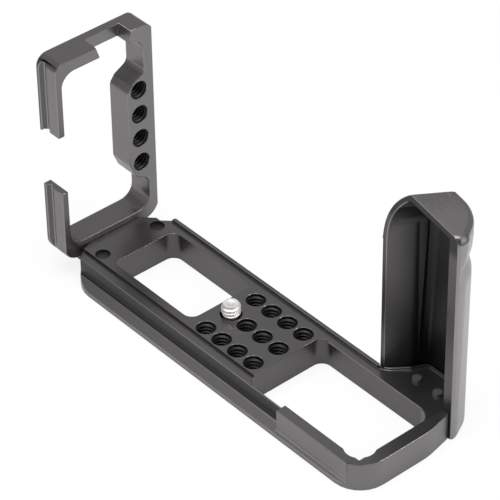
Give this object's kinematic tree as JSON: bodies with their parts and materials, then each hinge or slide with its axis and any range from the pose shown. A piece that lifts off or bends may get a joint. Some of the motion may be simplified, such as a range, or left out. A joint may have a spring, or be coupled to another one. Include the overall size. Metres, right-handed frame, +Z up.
{
  "type": "camera hand-grip l-bracket",
  "caption": "L-shaped camera bracket: windowed dovetail base plate with a captive camera screw, upright dovetail side plate and a hollow half-round hand grip.",
  "frame": {"origin": "the camera screw's axis at the deck that the camera sits on", "axes": "+X along the base plate towards the hand grip, +Y towards the camera's front, +Z up out of the deck along the camera screw"},
  "size_m": [0.1487, 0.0522, 0.0833],
  "materials": {
    "anodised_base": "satin black anodised",
    "anodised_side": "satin black anodised",
    "anodised_grip": "satin black anodised",
    "bright_steel": "bright turned",
    "spring_steel": "dark spring steel",
    "black_steel": "black oxide",
    "plain_steel": "plain turned"
  },
  "bodies": {
    "bracket": {"base_plate": "anodised_base", "side_plate": "anodised_side", "grip_shell": "anodised_grip", "screw_circlip": "spring_steel", "side_plate_screws": "black_steel", "grip_screws": "plain_steel"},
    "camera_screw": {"camera_screw": "bright_steel"}
  },
  "joints": [
    {"name": "camera_screw_turn", "type": "hinge", "parent": "bracket", "child": "camera_screw", "pos_m": [0, 0, 0], "axis": [0, 0, 1], "continuous": true}
  ]
}
